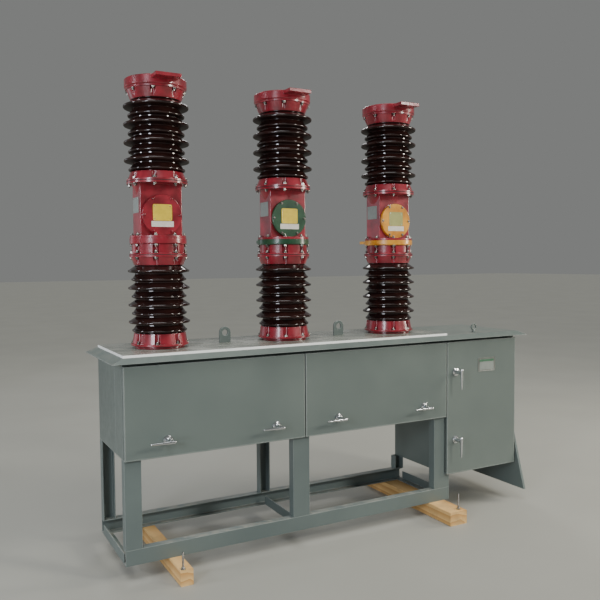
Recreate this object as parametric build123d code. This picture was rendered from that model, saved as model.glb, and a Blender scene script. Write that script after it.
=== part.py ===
from build123d import *
import os
from math import cos, sin, radians, tan

# Outdoor three-pole vacuum circuit breaker on a steel stand, millimetres.
# X runs along the front from the first pole to the mechanism box, Y to the back, Z up.
# Zero is on the ground, at the middle of the roof's length and depth.

# Cabinet
MAIN_LENGTH = 1889.0
MECH_LENGTH = 550.0
BOX_DEPTH = 512.0
SHEET = 2.5
MAIN_BOTTOM = 498.0
MECH_BOTTOM = 155.0
DOOR_TOP = 937.0

# Packing timbers under the stand
SKID_HEIGHT = 77.0
LEFT_SKID_X = 240.0
LEFT_SKID_WIDTH = 62.0
LEFT_SKID_LENGTH = 796.0
RIGHT_SKID_FROM_END = 91.0
RIGHT_SKID_WIDTH = 118.0
RIGHT_SKID_LENGTH = 862.0
SKID_CHAMFER = 3.0

# Stand
STAND_UNDER_MECH = 32.0
LEFT_LEG_WIDTH = 80.0
LEG_WIDTH = 96.0
FRONT_LEG_DEPTH = 48.0
BACK_LEG_WIDTH = 63.0
BACK_LEG_DEPTH = 45.0
STEEL = 5.0
BEAM_HEIGHT = 74.0
BEAM_FLANGE = 43.0
CROSS_HEIGHT = 50.0
CROSS_WIDTH = 46.0
MIDDLE_LEG_X = 929.0
RIGHT_LEG_WIDTH = 110.0

# Trapezoid leg at the mechanism end
END_LEG_HALF_BASE = 328.0
END_LEG_SLOPE = 16.0
END_LEG_TOP = 640.0
END_LEG_SHEET = 4.0
END_LEG_FLANGE = 11.0

# Roof
ROOF_GAP = 16.0
ROOF_RISE = 25.0
EAVE_END = 58.0
EAVE_FRONT = 30.0
ROOF_SHEET = 2.5
TOP_PLATE = 12.0
LUG_HEIGHT = 84.0
LUG_WIDTH = 62.0
LUG_THICKNESS = 12.0
LUG_HOLE = 16.0
LUG_OFFSET = 350.0
EYE_X = 258.0
EYE_Y = -194.0
EYE_RING = 17.0
EYE_WIRE = 5.0
EYE_COLLAR_RADIUS = 12.0
EYE_COLLAR = 8.0
EYE_SHANK_RADIUS = 7.0
EYE_SHANK = 16.0

# Doors: folded pans in front of the box, each on pins inside its pan
DOOR_DEPTH = 18.0
DOOR_SHEET = 2.0
DOOR_GAP = 7.0
SPLIT_X = 946.0
FRAME_GAP = 12.0
DOOR_INSET = 11.0
PIN_FROM_FRONT = 11.0
PIN_FROM_EDGE = 9.0
PIN_RADIUS = 3.0
PIN_CLEARANCE = 0.3
PIN_END = 2.0
ARM_WIDTH = 8.0
ARM_HEIGHT = 9.0
LUG_GAP = 5.0
DOOR_LUG = 3.0
DOOR_LUG_RADIUS = 6.5
HINGE_INSET = 160.0

# Frame round the doorways
STILE_WIDTH = 34.0
RAIL_HEIGHT = 30.0
FRAME_RETURN = 22.0
CORNER_RETURN = 135.0
SEAM = 3.0

# Lever handles
LEVER_LENGTH = 100.0
LEVER_TAIL = 24.0
LEVER_HUB = 9.5
LEVER_TIP = 4.5
STANDOFF = 45.0
ROSETTE_RADIUS = 23.0
ROSETTE_THICKNESS = 5.0
ROSETTE_SLOPE = 4.0
NECK_FLARE = 3.0
SHAFT_RADIUS = 6.0
SHAFT_CLEARANCE = 0.3
SHAFT_INSET = 1.0
HUB_GAP = 0.3
LEVER_ROW = 79.0
MAIN_LEVERS = (205.0, 776.0, 1148.0, 1721.0)
MECH_LEVERS = (358.0, 759.0)
MECH_LEVER_X = 64.0

# Poles
POLE_PITCH = 700.0
FIRST_POLE = 253.8
FOOT_RADIUS = 122.0
FOOT_HEIGHT = 14.0
BASE_HEIGHT = 60.0
FLANGE_RADIUS = 142.0
FLANGE_RIM = 10.0
FLANGE_SHOULDER = 6.0
CUP_RADIUS = 119.0
BASE_CUP_STEP = 8.0
NECK_CUP_STEP = 2.0
BUSHING_CUP_STEP = 10.0
TOP_CUP_STEP = 4.0
TOP_RIM_STEP = 2.0
CORE_RADIUS = 116.0
LOWER_PORCELAIN = 337.0
UPPER_PORCELAIN = 351.0
SHED_COUNT = 8
LARGE_SHED = 152.0
SMALL_SHED = 136.0
UPPER_LARGE_SHED = 160.0
UPPER_SMALL_SHED = 139.0
SHED_RIM = 6.5
RIM_SHARE = 0.31
GROOVE_SHARE = 0.05
NECK_FLANGE = 50.0
NECK_HEIGHT = 53.0
NECK_RADIUS = 129.0
NECK_POCKET = 15.0
NECK_EDGE = 5.0
RING_HEIGHT = 29.0
RING_RADIUS = 140.0
RING_BEVEL = 4.0
HOUSING_HEIGHT = 265.0
HOUSING_WIDTH = 212.0
HOUSING_FRONT = 62.0
HOUSING_BACK = 72.0
HOUSING_CORNER = 5.0
HOUSING_FOOT = 12.0
HOUSING_FOOT_RADIUS = 138.0
HOUSING_FLANGE = 12.0
HOUSING_FLANGE_RADIUS = 149.0
CORBEL_RADIUS = 125.0
CORBEL_DROP = 52.0
BUSHING_FLANGE = 46.0
TOP_FLANGE = 56.0
CAP_HEIGHT = 43.0
CAP_RADIUS = 152.0
CAP_FOOT_SLOPE = 4.0
CAP_FOOT_RISE = 5.0
CAP_BEVEL = 3.0
COVER_RADIUS = 100.0
COVER_THICKNESS = 16.0
COVER_GAP = 0.5
COVER_BEVEL = 2.0
POCKETS = 8
POCKET_RADIUS = 13.0
POCKET_INSET = 9.0

# Terminals
TAB_WIDTH = 125.0
TAB_THICKNESS = 16.0
TAB_REACH = 212.0
TAB_DROP = 5.0
HOLE_RADIUS = 6.5
HOLE_SPACING_X = 60.0
HOLE_SPACING_Y = 34.0
HOLE_EDGE = 16.0

# How far a cutting shape passes the wall it cuts
CUT = 1.0

# Places worked out from the sizes above
X_LEFT = -(MAIN_LENGTH + MECH_LENGTH) / 2
X_MID = X_LEFT + MAIN_LENGTH
X_RIGHT = X_MID + MECH_LENGTH
STAND_LENGTH = MAIN_LENGTH + STAND_UNDER_MECH
RIGHT_SKID_X = STAND_LENGTH - RIGHT_SKID_FROM_END
Y_FRONT = -BOX_DEPTH / 2
Y_BACK = BOX_DEPTH / 2
Z_STAND = SKID_HEIGHT
Z_MAIN = Z_STAND + MAIN_BOTTOM
Z_MECH = Z_STAND + MECH_BOTTOM
Z_DOOR_TOP = Z_STAND + DOOR_TOP
Z_EAVE = Z_DOOR_TOP + ROOF_GAP
Z_ROOF = Z_EAVE + ROOF_RISE
Z_PLATE = Z_ROOF + TOP_PLATE
Y_PAN_BACK = Y_FRONT + DOOR_DEPTH
Y_FRAME = Y_PAN_BACK + FRAME_GAP
Z_WALL_TOP = Z_ROOF - ROOF_SHEET
PIN_Y = Y_FRONT + PIN_FROM_FRONT
MAIN_PIN_Z = Z_DOOR_TOP - PIN_FROM_EDGE
MECH_DOOR_RIGHT = X_RIGHT - DOOR_INSET
MECH_PIN_X = MECH_DOOR_RIGHT - PIN_FROM_EDGE
POLES = [X_LEFT + FIRST_POLE + POLE_PITCH * i for i in range(3)]
LEG_XS = [X_LEFT, X_LEFT + MIDDLE_LEG_X - LEG_WIDTH / 2, X_LEFT + STAND_LENGTH - RIGHT_LEG_WIDTH]


def block(x0, x1, y0, y1, z0, z1):
    middle = Pos((x0 + x1) / 2, (y0 + y1) / 2, (z0 + z1) / 2)
    return middle * Box(x1 - x0, y1 - y0, z1 - z0)


def prism(points, plane, length):
    # A closed outline on a plane, pushed along the plane's normal
    return extrude(plane * make_face(Polyline(*points, close=True)), length)


def turned(points, x=0.0):
    # A profile of radius and height turned round an upright axis
    return turned_outline(Polyline(*points, close=True), x)


def turned_outline(outline, x=0.0):
    # The same for a closed outline that may hold arcs
    return Pos(x, 0, 0) * revolve(Plane.XZ * make_face(outline), Axis.Z)


def upright(radius, z0, z1, x, y):
    return Pos(x, y, (z0 + z1) / 2) * Cylinder(radius, z1 - z0)


def along_y(radius, y0, y1, x, z):
    return Pos(x, (y0 + y1) / 2, z) * Rot(90, 0, 0) * Cylinder(radius, y1 - y0)


def along_x(radius, x0, x1, y, z):
    return Pos((x0 + x1) / 2, y, z) * Rot(0, 90, 0) * Cylinder(radius, x1 - x0)


def channel(x0, width, depth, y_web, facing, z0, z1):
    # Upright channel: the web stands at y_web and the flanges run towards facing
    s = facing
    points = [
        (x0, y_web), (x0 + width, y_web), (x0 + width, y_web + s * depth),
        (x0 + width - STEEL, y_web + s * depth), (x0 + width - STEEL, y_web + s * STEEL),
        (x0 + STEEL, y_web + s * STEEL), (x0 + STEEL, y_web + s * depth), (x0, y_web + s * depth),
    ]
    return prism(points, Plane.XY.offset(z0), z1 - z0)


# Stand

def front_legs():
    y = Y_PAN_BACK
    z0 = Z_STAND + BEAM_HEIGHT
    left = channel(LEG_XS[0], LEFT_LEG_WIDTH, FRONT_LEG_DEPTH, y, 1, z0, Z_MAIN)
    middle = channel(LEG_XS[1], LEG_WIDTH, FRONT_LEG_DEPTH, y, 1, z0, Z_MAIN)
    foot = channel(LEG_XS[2], RIGHT_LEG_WIDTH, FRONT_LEG_DEPTH, y, 1, z0, Z_MECH)
    upper = channel(LEG_XS[2], X_MID - LEG_XS[2], FRONT_LEG_DEPTH, y, 1, Z_MECH, Z_MAIN)
    return [left, middle, foot + upper]


def back_legs():
    y = Y_BACK
    z0 = Z_STAND + BEAM_HEIGHT
    middle = LEG_XS[1] + (LEG_WIDTH - BACK_LEG_WIDTH) / 2
    right = X_LEFT + STAND_LENGTH - BACK_LEG_WIDTH
    return [
        channel(X_LEFT, BACK_LEG_WIDTH, BACK_LEG_DEPTH, y, -1, z0, Z_MAIN),
        channel(middle, BACK_LEG_WIDTH, BACK_LEG_DEPTH, y, -1, z0, Z_MAIN),
        channel(right, BACK_LEG_WIDTH, BACK_LEG_DEPTH, y, -1, z0, Z_MECH),
    ]


def long_beam(y_web, facing):
    # Channel on its side along X, web outwards
    z0 = Z_STAND
    z1 = Z_STAND + BEAM_HEIGHT
    y1 = y_web + facing * BEAM_FLANGE
    y_in = y_web + facing * STEEL
    points = [
        (y_web, z0), (y1, z0), (y1, z0 + STEEL), (y_in, z0 + STEEL),
        (y_in, z1 - STEEL), (y1, z1 - STEEL), (y1, z1), (y_web, z1),
    ]
    plane = Plane(origin=(X_LEFT, 0, 0), x_dir=(0, 1, 0), z_dir=(1, 0, 0))
    return prism(points, plane, STAND_LENGTH)


def cross_beams():
    # Angles laid between the two long beams, flange on top
    y0 = Y_PAN_BACK + BEAM_FLANGE
    y1 = Y_BACK - BEAM_FLANGE
    z0 = Z_STAND
    z1 = Z_STAND + CROSS_HEIGHT
    beams = []
    places = [(X_LEFT, 1), (LEG_XS[1] + LEG_WIDTH / 2, 1), (X_LEFT + STAND_LENGTH, -1)]
    plane = Plane(origin=(0, y1, 0), x_dir=(1, 0, 0), z_dir=(0, -1, 0))
    for x, side in places:
        inner = x + side * STEEL
        outer = x + side * CROSS_WIDTH
        points = [(x, z0), (outer, z0), (outer, z0 + STEEL), (inner, z0 + STEEL), (inner, z1), (x, z1)]
        beams.append(prism(points, plane, y1 - y0))
    return beams


def right_end_leg():
    # One folded sheet against the end of the mechanism box, with edges turned outwards
    base = Z_STAND
    top = Z_STAND + END_LEG_TOP
    half_top = END_LEG_HALF_BASE - END_LEG_TOP * tan(radians(END_LEG_SLOPE))
    outline = [(-END_LEG_HALF_BASE, base), (END_LEG_HALF_BASE, base), (half_top, top), (-half_top, top)]
    plane = Plane(origin=(X_RIGHT, 0, 0), x_dir=(0, 1, 0), z_dir=(1, 0, 0))
    whole = prism(outline, plane, END_LEG_SHEET + END_LEG_FLANGE)
    t = END_LEG_SHEET
    slant = t / cos(radians(END_LEG_SLOPE))
    inner = [
        (-END_LEG_HALF_BASE + slant + t * tan(radians(END_LEG_SLOPE)), base + t),
        (END_LEG_HALF_BASE - slant - t * tan(radians(END_LEG_SLOPE)), base + t),
        (half_top - slant, top), (-half_top + slant, top),
    ]
    hollow = prism(inner, Plane(origin=(X_RIGHT + t, 0, 0), x_dir=(0, 1, 0), z_dir=(1, 0, 0)), END_LEG_FLANGE)
    return whole - hollow


def skid(offset, width, length):
    x = X_LEFT + offset
    timber = block(x - width / 2, x + width / 2, -length / 2, length / 2, 0, SKID_HEIGHT)
    return chamfer(timber.edges().filter_by(Axis.Y), SKID_CHAMFER)


# Cabinet

def corner_angle(x0, x1, y_return, side, z0, z1):
    # Upright folded strip: a face towards the front and one return at the given side
    edge, inner, free = (x0, x0 + SHEET, x1) if side < 0 else (x1, x1 - SHEET, x0)
    y1 = Y_FRAME + SHEET
    points = [(edge, Y_FRAME), (free, Y_FRAME), (free, y1), (inner, y1), (inner, y_return), (edge, y_return)]
    return prism(points, Plane.XY.offset(z0), z1 - z0)


def front_stiles():
    z1 = Z_WALL_TOP
    z0 = Z_MAIN + SHEET
    left = corner_angle(X_LEFT, X_LEFT + STILE_WIDTH, Y_FRAME + CORNER_RETURN, -1, z0, z1)
    split = X_LEFT + SPLIT_X
    middle = corner_angle(split - STILE_WIDTH / 2, split + STILE_WIDTH / 2, Y_FRAME + FRAME_RETURN, -1, z0, z1)
    before = corner_angle(X_MID - STILE_WIDTH, X_MID, Y_FRAME + FRAME_RETURN, 1, z0, z1)
    after = corner_angle(X_MID + SHEET, X_MID + STILE_WIDTH, Y_FRAME + FRAME_RETURN, -1, Z_MECH + SHEET, z1)
    right = corner_angle(X_RIGHT - STILE_WIDTH, X_RIGHT - SHEET, Y_FRAME + FRAME_RETURN, 1, Z_MECH + SHEET, z1)
    for z in mech_hinges():
        right += upright_arm(z)
    return [left, middle, before, after, right]


def rail(x0, x1, z_edge, rise):
    # Lying folded strip between two stiles, its return running back from the edge
    t = SHEET
    s = 1 if rise > 0 else -1
    y0 = Y_FRAME
    points = [
        (y0, z_edge), (y0 + FRAME_RETURN, z_edge), (y0 + FRAME_RETURN, z_edge + s * t),
        (y0 + t, z_edge + s * t), (y0 + t, z_edge + rise), (y0, z_edge + rise),
    ]
    plane = Plane(origin=(x0, 0, 0), x_dir=(0, 1, 0), z_dir=(1, 0, 0))
    return prism(points, plane, x1 - x0)


def hinge_arm(x, z_pin):
    # Arm from the rail to a pin that stands out on both sides
    reach = LUG_GAP + DOOR_LUG + PIN_END
    arm = block(x - ARM_WIDTH / 2, x + ARM_WIDTH / 2, PIN_Y, Y_FRAME, z_pin - ARM_HEIGHT / 2, z_pin + ARM_HEIGHT / 2)
    boss = along_x(ARM_HEIGHT / 2, x - ARM_WIDTH / 2, x + ARM_WIDTH / 2, PIN_Y, z_pin)
    pin = along_x(PIN_RADIUS, x - ARM_WIDTH / 2 - reach, x + ARM_WIDTH / 2 + reach, PIN_Y, z_pin)
    return arm + boss + pin


def upright_arm(z):
    reach = LUG_GAP + DOOR_LUG + PIN_END
    x = MECH_PIN_X
    arm = block(x - ARM_HEIGHT / 2, x + ARM_HEIGHT / 2, PIN_Y, Y_FRAME, z - ARM_WIDTH / 2, z + ARM_WIDTH / 2)
    boss = upright(ARM_HEIGHT / 2, z - ARM_WIDTH / 2, z + ARM_WIDTH / 2, x, PIN_Y)
    pin = upright(PIN_RADIUS, z - ARM_WIDTH / 2 - reach, z + ARM_WIDTH / 2 + reach, x, PIN_Y)
    return arm + boss + pin


def main_door_span(index):
    split = X_LEFT + SPLIT_X
    if index == 0:
        return X_LEFT, split - DOOR_GAP / 2
    return split + DOOR_GAP / 2, X_MID - DOOR_GAP / 2


def main_hinges(index):
    x0, x1 = main_door_span(index)
    return [x0 + HINGE_INSET, x1 - HINGE_INSET]


def mech_door_span():
    return X_MID + DOOR_GAP / 2, MECH_DOOR_RIGHT


def mech_hinges():
    return [Z_MECH + HINGE_INSET, Z_DOOR_TOP - HINGE_INSET]


def front_rails():
    split = X_LEFT + SPLIT_X
    bays = [(X_LEFT + STILE_WIDTH, split - STILE_WIDTH / 2), (split + STILE_WIDTH / 2, X_MID - STILE_WIDTH)]
    z_top = Z_WALL_TOP
    drop = Z_WALL_TOP - (Z_DOOR_TOP - RAIL_HEIGHT)
    rails = []
    for index, (x0, x1) in enumerate(bays):
        top = rail(x0, x1, z_top, -drop)
        for x in main_hinges(index):
            top += hinge_arm(x, MAIN_PIN_Z)
        rails.append(top)
        rails.append(rail(x0, x1, Z_MAIN + SHEET, RAIL_HEIGHT))
    rails.append(rail(X_MID + STILE_WIDTH, X_RIGHT - STILE_WIDTH, z_top, -drop))
    rails.append(rail(X_MID + STILE_WIDTH, X_RIGHT - STILE_WIDTH, Z_MECH + SHEET, RAIL_HEIGHT))
    return rails


def left_end_panel():
    y0 = Y_FRAME + CORNER_RETURN + SEAM
    return block(X_LEFT, X_LEFT + SHEET, y0, Y_BACK - SHEET, Z_MAIN + SHEET, Z_WALL_TOP)


def partition_wall():
    return block(X_MID, X_MID + SHEET, Y_FRAME, Y_BACK - SHEET, Z_MECH, Z_WALL_TOP)


def right_end_wall():
    return block(X_RIGHT - SHEET, X_RIGHT, Y_FRAME, Y_BACK - SHEET, Z_MECH, Z_WALL_TOP)


def back_panels():
    main = block(X_LEFT, X_MID - SHEET, Y_BACK - SHEET, Y_BACK, Z_MAIN, Z_WALL_TOP)
    mech = block(X_MID, X_RIGHT, Y_BACK - SHEET, Y_BACK, Z_MECH, Z_WALL_TOP)
    return [main, mech]


def floor_panels():
    y0 = Y_FRAME
    main = block(X_LEFT, X_MID, y0, Y_BACK - SHEET, Z_MAIN, Z_MAIN + SHEET)
    mech = block(X_MID + SHEET, X_RIGHT - SHEET, y0, Y_BACK - SHEET, Z_MECH, Z_MECH + SHEET)
    return [main, mech]


def hipped(x0, x1, y0, y1, z0, z1, end, front):
    lower = Pos((x0 + x1) / 2, (y0 + y1) / 2, z0) * Rectangle(x1 - x0 + 2 * end, y1 - y0 + 2 * front)
    upper = Pos((x0 + x1) / 2, (y0 + y1) / 2, z1) * Rectangle(x1 - x0, y1 - y0)
    return loft([lower.face(), upper.face()])


def roof():
    # Folded cover with sloping skirts; its hollow seats on the walls
    t = ROOF_SHEET
    end = EAVE_END - t
    front = EAVE_FRONT - t
    shell = hipped(X_LEFT - t, X_RIGHT + t, Y_FRONT - t, Y_BACK + t, Z_EAVE, Z_ROOF, end, front)
    return shell - hipped(X_LEFT, X_RIGHT, Y_FRONT, Y_BACK, Z_EAVE, Z_ROOF - t, end, front)


def top_plate():
    return block(X_LEFT, X_MID, Y_FRONT, Y_BACK, Z_ROOF, Z_PLATE)


def lifting_lug(x):
    # Upright plate with a round head and an eye
    head = LUG_WIDTH / 2
    plane = Plane(origin=(x, LUG_THICKNESS / 2, Z_PLATE), x_dir=(1, 0, 0), z_dir=(0, -1, 0))
    plate = Pos(0, (LUG_HEIGHT - head) / 2) * Rectangle(LUG_WIDTH, LUG_HEIGHT - head)
    plate += Pos(0, LUG_HEIGHT - head) * Circle(head)
    plate -= Pos(0, LUG_HEIGHT - head) * Circle(LUG_HOLE)
    return extrude(plane * plate, LUG_THICKNESS)


def eye_bolt():
    x = X_MID + EYE_X
    z = Z_ROOF + EYE_SHANK + EYE_RING
    collar = upright(EYE_COLLAR_RADIUS, Z_ROOF, Z_ROOF + EYE_COLLAR, x, EYE_Y)
    shank = upright(EYE_SHANK_RADIUS, Z_ROOF, z - EYE_RING, x, EYE_Y)
    ring = Pos(x, EYE_Y, z) * Rot(90, 0, 0) * Torus(EYE_RING, EYE_WIRE)
    return collar + shank + ring


def lifting_lugs():
    middle = POLES[1]
    return [lifting_lug(middle - LUG_OFFSET), lifting_lug(middle + LUG_OFFSET), eye_bolt()]


# Doors

def pan(x0, x1, z0, z1):
    # Folded sheet: a front face and four returns, open at the back
    whole = block(x0, x1, Y_FRONT, Y_PAN_BACK, z0, z1)
    t = DOOR_SHEET
    return whole - block(x0 + t, x1 - t, Y_FRONT + t, Y_PAN_BACK, z0 + t, z1 - t)


def main_door(index):
    x0, x1 = main_door_span(index)
    door = pan(x0, x1, Z_MAIN, Z_DOOR_TOP)
    notch = ARM_WIDTH / 2 + LUG_GAP
    z = MAIN_PIN_Z
    for x in main_hinges(index):
        door -= block(x - notch, x + notch, Y_FRONT + DOOR_SHEET, Y_PAN_BACK, z, Z_DOOR_TOP)
        for side in (-1, 1):
            edge = x + side * notch
            low = min(edge, edge + side * DOOR_LUG)
            high = max(edge, edge + side * DOOR_LUG)
            lug = along_x(DOOR_LUG_RADIUS, low, high, PIN_Y, z)
            lug += block(low, high, PIN_Y - DOOR_LUG_RADIUS, PIN_Y + DOOR_LUG_RADIUS, z, Z_DOOR_TOP - DOOR_SHEET / 2)
            door += lug
            door -= along_x(PIN_RADIUS + PIN_CLEARANCE, low - CUT, high + CUT, PIN_Y, z)
    return door


def mechanism_door():
    x0, x1 = mech_door_span()
    door = pan(x0, x1, Z_MECH, Z_DOOR_TOP)
    notch = ARM_WIDTH / 2 + LUG_GAP
    x = MECH_PIN_X
    for z in mech_hinges():
        door -= block(x, x1, Y_FRONT + DOOR_SHEET, Y_PAN_BACK, z - notch, z + notch)
        for side in (-1, 1):
            edge = z + side * notch
            low = min(edge, edge + side * DOOR_LUG)
            high = max(edge, edge + side * DOOR_LUG)
            lug = upright(DOOR_LUG_RADIUS, low, high, x, PIN_Y)
            lug += block(x, x1 - DOOR_SHEET / 2, PIN_Y - DOOR_LUG_RADIUS, PIN_Y + DOOR_LUG_RADIUS, low, high)
            door += lug
            door -= upright(PIN_RADIUS + PIN_CLEARANCE, low - CUT, high + CUT, x, PIN_Y)
    return door


def rosette(x, z):
    # Turned plate and neck on the door's face, bored for the lever's shaft
    bore = SHAFT_RADIUS + SHAFT_CLEARANCE
    profile = [
        (bore, 0), (ROSETTE_RADIUS, 0), (ROSETTE_RADIUS, ROSETTE_THICKNESS),
        (LEVER_HUB + NECK_FLARE, ROSETTE_THICKNESS + ROSETTE_SLOPE), (LEVER_HUB, STANDOFF), (bore, STANDOFF),
    ]
    return Pos(x, Y_FRONT, z) * Rot(90, 0, 0) * turned(profile)


def lever(x, z, turn):
    # Round tapered grip, thick at its short end, in one with its shaft; turn 0 points to -X, 90 down
    thick = LEVER_TAIL - LEVER_HUB
    thin = LEVER_TIP - LEVER_LENGTH
    outline = Line((-LEVER_LENGTH, 0), (LEVER_TAIL, 0)) + CenterArc((thick, 0), LEVER_HUB, 0, 90)
    outline += Line((thick, LEVER_HUB), (thin, LEVER_TIP)) + CenterArc((thin, 0), LEVER_TIP, 90, 90)
    grip = Pos(0, 0, LEVER_HUB) * revolve(make_face(outline), Axis.X)
    shaft = upright(SHAFT_RADIUS, SHAFT_INSET - STANDOFF - HUB_GAP, LEVER_HUB, 0, 0)
    return Pos(x, Y_FRONT - STANDOFF - HUB_GAP, z) * Rot(90, 0, 0) * (Rot(0, 0, turn) * grip + shaft)


def main_lever_place(index):
    return X_LEFT + MAIN_LEVERS[index], Z_MAIN + LEVER_ROW


def mech_lever_place(index):
    return X_MID + MECH_LEVER_X, Z_STAND + MECH_LEVERS[index]


# Poles, from the foot up

Z_BASE = Z_PLATE
Z_LOWER = Z_BASE + FOOT_HEIGHT + BASE_HEIGHT
Z_NECK = Z_LOWER + LOWER_PORCELAIN
Z_RING = Z_NECK + NECK_FLANGE + NECK_HEIGHT
Z_HOUSING = Z_RING + RING_HEIGHT
Z_BUSHING = Z_HOUSING + HOUSING_HEIGHT + HOUSING_FLANGE
Z_UPPER = Z_BUSHING + BUSHING_FLANGE
Z_TOP = Z_UPPER + UPPER_PORCELAIN
Z_CAP = Z_TOP + TOP_FLANGE


def pockets(x, z0, z1, circle, size):
    # Round bolt pockets cut into the outside of a casting
    cut = []
    for i in range(POCKETS):
        turn = radians(360.0 / POCKETS * (i + 0.5))
        cut.append(upright(size, z0, z1, x + circle * cos(turn), circle * sin(turn)))
    return cut


def cast_flange(x, z_rim, z_cup, rim_radius, rim, cup_radius):
    # Casting with a rim at z_rim and a cup tapering towards z_cup
    s = 1 if z_cup > z_rim else -1
    shoulder = rim_radius - FLANGE_SHOULDER
    z_step = z_rim + s * rim
    profile = [
        (0, z_rim), (rim_radius, z_rim), (rim_radius, z_step), (shoulder, z_step), (cup_radius, z_cup), (0, z_cup),
    ]
    body = turned(profile, x)
    low = min(z_step, z_cup)
    high = max(z_step, z_cup)
    for cut in pockets(x, low, high, rim_radius - POCKET_INSET, POCKET_RADIUS):
        body -= cut
    return body


def base_flange(x):
    foot = upright(FOOT_RADIUS, Z_BASE, Z_BASE + FOOT_HEIGHT, x, 0)
    cup = CUP_RADIUS + BASE_CUP_STEP
    return foot + cast_flange(x, Z_BASE + FOOT_HEIGHT, Z_LOWER, FLANGE_RADIUS, FLANGE_RIM, cup)


def porcelain(x, z0, length, large, small):
    # Glazed insulator: a core with sheds of two sizes in turn, the largest at the top. Each shed
    # is flat below, slopes down from the core above and ends in a round rim
    pitch = length / SHED_COUNT
    groove = pitch * GROOVE_SHARE
    here = (CORE_RADIUS, z0)
    outline = Line((0, z0), here)
    for i in range(SHED_COUNT):
        foot = z0 + pitch * i
        rim = foot + pitch * RIM_SHARE
        radius = large if (SHED_COUNT - 1 - i) % 2 == 0 else small
        under = (radius - SHED_RIM, rim - SHED_RIM)
        over = (radius - SHED_RIM, rim + SHED_RIM)
        outline += Polyline(here, (CORE_RADIUS, foot + groove), under)
        outline += ThreePointArc(under, (radius, rim), over)
        here = (CORE_RADIUS, foot + pitch - groove)
        outline += Line(over, here)
    outline += Polyline(here, (CORE_RADIUS, z0 + length), (0, z0 + length), (0, z0))
    return turned_outline(outline, x)


def neck_flange(x):
    # Casting over the lower insulator's top
    cup = CUP_RADIUS + NECK_CUP_STEP
    return cast_flange(x, Z_NECK + NECK_FLANGE, Z_NECK, FLANGE_RADIUS, FLANGE_RIM, cup)


def neck(x):
    # Short body between the insulator and the ring, with a bolt pocket at each rib
    z = Z_NECK + NECK_FLANGE
    profile = [
        (0, z), (FLANGE_RADIUS, z), (FLANGE_RADIUS, z + FLANGE_RIM - NECK_EDGE), (NECK_RADIUS, z + FLANGE_RIM),
        (NECK_RADIUS, Z_RING), (0, Z_RING),
    ]
    body = turned(profile, x)
    for cut in pockets(x, z + FLANGE_RIM, Z_RING, NECK_RADIUS, NECK_POCKET):
        body -= cut
    return body


def tab_holes(x, y_edge, side, z0, z1):
    rows = (y_edge - side * HOLE_EDGE, y_edge - side * (HOLE_EDGE + HOLE_SPACING_Y))
    return [upright(HOLE_RADIUS, z0, z1, x + dx, y) for y in rows for dx in (-HOLE_SPACING_X / 2, HOLE_SPACING_X / 2)]


def phase_ring(x):
    # Ring under the housing with the lower terminal pad at the back
    z1 = Z_RING + RING_HEIGHT
    r = RING_RADIUS
    b = RING_BEVEL
    ring = turned([(0, Z_RING), (r - b, Z_RING), (r, Z_RING + b), (r, z1), (0, z1)], x)
    z0 = z1 - TAB_THICKNESS
    ring += block(x - TAB_WIDTH / 2, x + TAB_WIDTH / 2, 0, TAB_REACH, z0, z1)
    for hole in tab_holes(x, TAB_REACH, 1, z0 - CUT, z1 + CUT):
        ring -= hole
    return ring


def housing(x):
    # Square cast housing with a round foot on the ring and a round flange on top, carried by
    # corbels that swell out of its sides
    z0 = Z_HOUSING
    z1 = Z_HOUSING + HOUSING_HEIGHT
    half = HOUSING_WIDTH / 2
    box = block(x - half, x + half, -HOUSING_FRONT, HOUSING_BACK, z0, z1)
    box = fillet(box.edges().filter_by(Axis.Z), HOUSING_CORNER)
    foot = upright(HOUSING_FOOT_RADIUS, z0, z0 + HOUSING_FOOT, x, 0)
    flange = upright(HOUSING_FLANGE_RADIUS, z1, z1 + HOUSING_FLANGE, x, 0)
    low = z1 - CORBEL_DROP
    swell = turned([(0, low), (half, low), (CORBEL_RADIUS, z1), (0, z1)], x)
    between = block(x - CORBEL_RADIUS, x + CORBEL_RADIUS, -HOUSING_FRONT, HOUSING_BACK, low, z1)
    return box + foot + flange + (swell & between)


def cover(x):
    z = Z_HOUSING + HOUSING_FOOT + COVER_GAP + COVER_RADIUS
    disc = along_y(COVER_RADIUS, -HOUSING_FRONT - COVER_THICKNESS, -HOUSING_FRONT, x, z)
    return chamfer(disc.edges().sort_by(Axis.Y)[0], COVER_BEVEL)


def bushing_flange(x):
    cup = CUP_RADIUS + BUSHING_CUP_STEP
    return cast_flange(x, Z_BUSHING, Z_UPPER, HOUSING_FLANGE_RADIUS, FLANGE_RIM, cup)


def top_flange(x):
    cup = CUP_RADIUS + TOP_CUP_STEP
    return cast_flange(x, Z_CAP, Z_TOP, HOUSING_FLANGE_RADIUS - TOP_RIM_STEP, FLANGE_RIM, cup)


def top_terminal(x):
    # Cap with the upper terminal pad reaching to the front
    z1 = Z_CAP + CAP_HEIGHT
    r = CAP_RADIUS
    b = CAP_BEVEL
    low = (r - CAP_FOOT_SLOPE, Z_CAP)
    cap = turned([(0, Z_CAP), low, (r, Z_CAP + CAP_FOOT_RISE), (r, z1 - b), (r - b, z1), (0, z1)], x)
    z_tab = z1 - TAB_DROP
    z0 = z_tab - TAB_THICKNESS
    cap += block(x - TAB_WIDTH / 2, x + TAB_WIDTH / 2, -TAB_REACH, 0, z0, z_tab)
    for hole in tab_holes(x, -TAB_REACH, -1, z0 - CUT, z_tab + CUT):
        cap -= hole
    return cap


def save(name, shapes):
    solids = shapes if isinstance(shapes, list) else [shapes]
    kept = [s for shape in solids for s in shape.solids()]
    shape = kept[0] if len(kept) == 1 else Compound(children=kept)
    export_step(shape, f"parts/{name}.step")


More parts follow.
